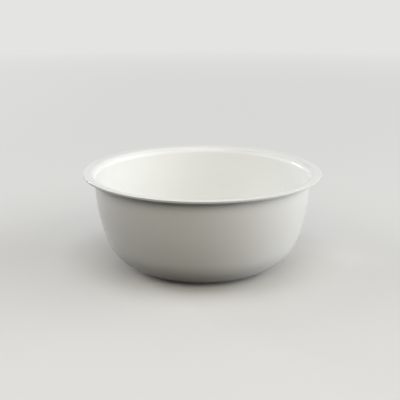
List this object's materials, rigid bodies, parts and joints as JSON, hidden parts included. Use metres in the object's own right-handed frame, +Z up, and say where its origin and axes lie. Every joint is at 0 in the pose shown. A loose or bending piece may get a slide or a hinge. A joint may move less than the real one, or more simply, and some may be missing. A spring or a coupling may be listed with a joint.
{
  "type": "plastic basin",
  "caption": "Round off-white plastic wash basin with a thin, almost flat rolled lip, a gently bowed wall, a broad rounded corner and a shallow foot ring; holds water, washing or food.",
  "frame": {"origin": "centre of the foot ring's underside, on the surface that the basin stands on", "axes": "+Z up along the basin's axis; the basin is turned, so X and Y are any two level directions"},
  "size_m": [0.32, 0.32, 0.132],
  "materials": {
    "off_white_polypropylene": "injection-moulded polypropylene, soft gloss, off-white"
  },
  "bodies": {
    "root": {"basin": "off_white_polypropylene"}
  },
  "joints": []
}
